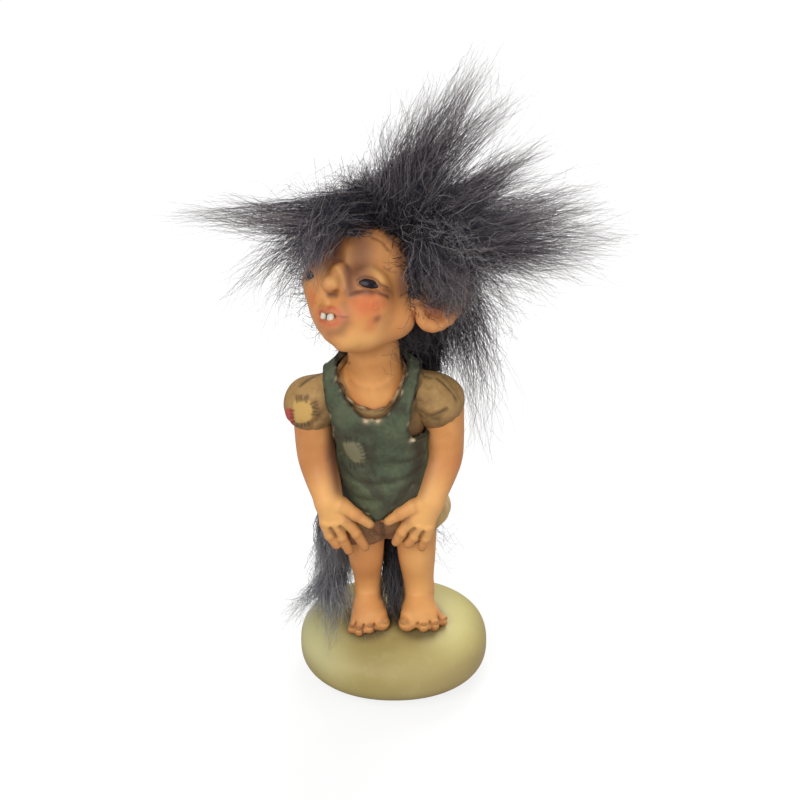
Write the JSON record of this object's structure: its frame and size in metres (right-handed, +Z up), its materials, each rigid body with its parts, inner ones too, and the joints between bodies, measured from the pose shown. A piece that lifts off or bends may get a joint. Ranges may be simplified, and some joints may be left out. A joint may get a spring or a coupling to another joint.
{
  "type": "elf figurine",
  "caption": "Folk elf child figurine with wild fur hair and tail, patched tunic and puffed sleeves, standing on a painted pebble.",
  "frame": {"origin": "middle of the pebble's flat underside, on the surface that the figurine stands on", "axes": "+Z up through the figure, -Y the way its body faces, +X towards its own left"},
  "size_m": [0.1072, 0.0561, 0.1728],
  "materials": {
    "skin": "painted cast resin, warm tan with a thin satin varnish",
    "stone_olive": "painted pebble, pale olive and satin",
    "tunic_green": "painted cast resin, dry-brushed dark green",
    "shirt_mustard": "painted cast resin, mustard with dark washed folds",
    "shorts_brown": "painted cast resin, brown with dark washed folds",
    "eye_black": "glossy near-black bead",
    "tooth_ivory": "glossy ivory paint",
    "hide": "bare hide strip under the fur",
    "fur_blue_black": "blue-black fur that thins to grey-brown tips"
  },
  "bodies": {
    "root": {"base_stone": "stone_olive", "left_leg": "skin", "right_leg": "skin", "shorts": "shorts_brown", "torso_core": "skin", "shirt": "shirt_mustard", "tunic": "tunic_green", "left_sleeve": "shirt_mustard", "right_sleeve": "shirt_mustard", "left_arm": "skin", "right_arm": "skin", "head": "skin", "left_ear": "skin", "right_ear": "skin", "left_eye": "eye_black", "right_eye": "eye_black", "front_teeth": "tooth_ivory", "fur_cap": "fur_blue_black", "crest_tuft": "fur_blue_black", "left_upper_tuft": "fur_blue_black", "left_fan_tuft": "fur_blue_black", "right_front_tuft": "fur_blue_black", "right_fringe_tuft": "fur_blue_black", "left_side_lock": "fur_blue_black", "nape_tuft": "fur_blue_black", "back_tuft": "fur_blue_black", "tail_hide": "hide", "tail_fur": "fur_blue_black"}
  },
  "joints": []
}
